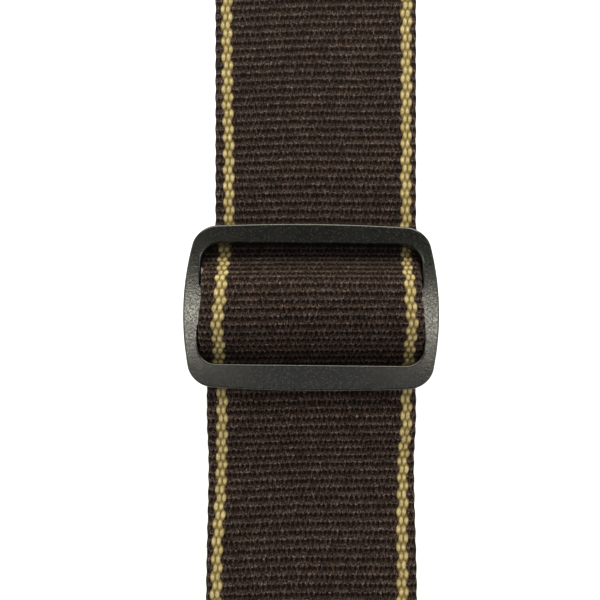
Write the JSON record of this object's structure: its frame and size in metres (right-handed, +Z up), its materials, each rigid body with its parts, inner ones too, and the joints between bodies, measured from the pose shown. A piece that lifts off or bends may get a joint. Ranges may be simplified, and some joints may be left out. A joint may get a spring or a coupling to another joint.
{
  "type": "guitar strap",
  "caption": "Adjustable guitar strap: wide striped webbing threaded through a flat slider and a ring, with a leather end and button hole at each end.",
  "frame": {"origin": "bottom centre of the folded strap's bounding box, on the surface it lies on", "axes": "+Y along the strap from the front leather end to the rear one, +Z up out of the surface, +X across the webbing"},
  "size_m": [0.0602, 0.4696, 0.0212],
  "materials": {
    "webbing": "heavy ribbed brown webbing with a gold stripe near each edge",
    "slider_plastic": "satin black moulded plastic with a fine grain",
    "ring_plastic": "satin black moulded plastic",
    "leather": "dark brown grained leather",
    "thread": "twisted gold-tan sewing thread",
    "dark_thread": "twisted dark brown sewing thread"
  },
  "bodies": {
    "strap": {"main_webbing": "webbing", "rear_tab_face": "leather", "rear_tab_backing": "leather", "rear_tab_needle_thread": "thread", "rear_tab_bobbin_thread": "thread"},
    "slider": {"slider": "slider_plastic", "slider_end_thread": "dark_thread"},
    "ring": {"ring": "ring_plastic"},
    "front_tab": {"ring_webbing": "webbing", "front_tab_face": "leather", "front_tab_backing": "leather", "front_tab_needle_thread": "thread", "front_tab_bobbin_thread": "thread"}
  },
  "joints": [
    {"name": "slider_slide", "type": "slide", "parent": "strap", "child": "slider", "axis": [0, 1, 0], "range_m": [-0.008, 0.04], "deforming": ["main_webbing"]},
    {"name": "ring_pivot", "type": "hinge", "parent": "strap", "child": "ring", "pos_m": [0, -0.11, 0.00477], "axis": [-1, 0, 0], "range_deg": [0, 80]},
    {"name": "front_tab_pivot", "type": "hinge", "parent": "ring", "child": "front_tab", "pos_m": [0, -0.128, 0.00477], "axis": [-1, 0, 0], "range_deg": [0, 80]}
  ]
}
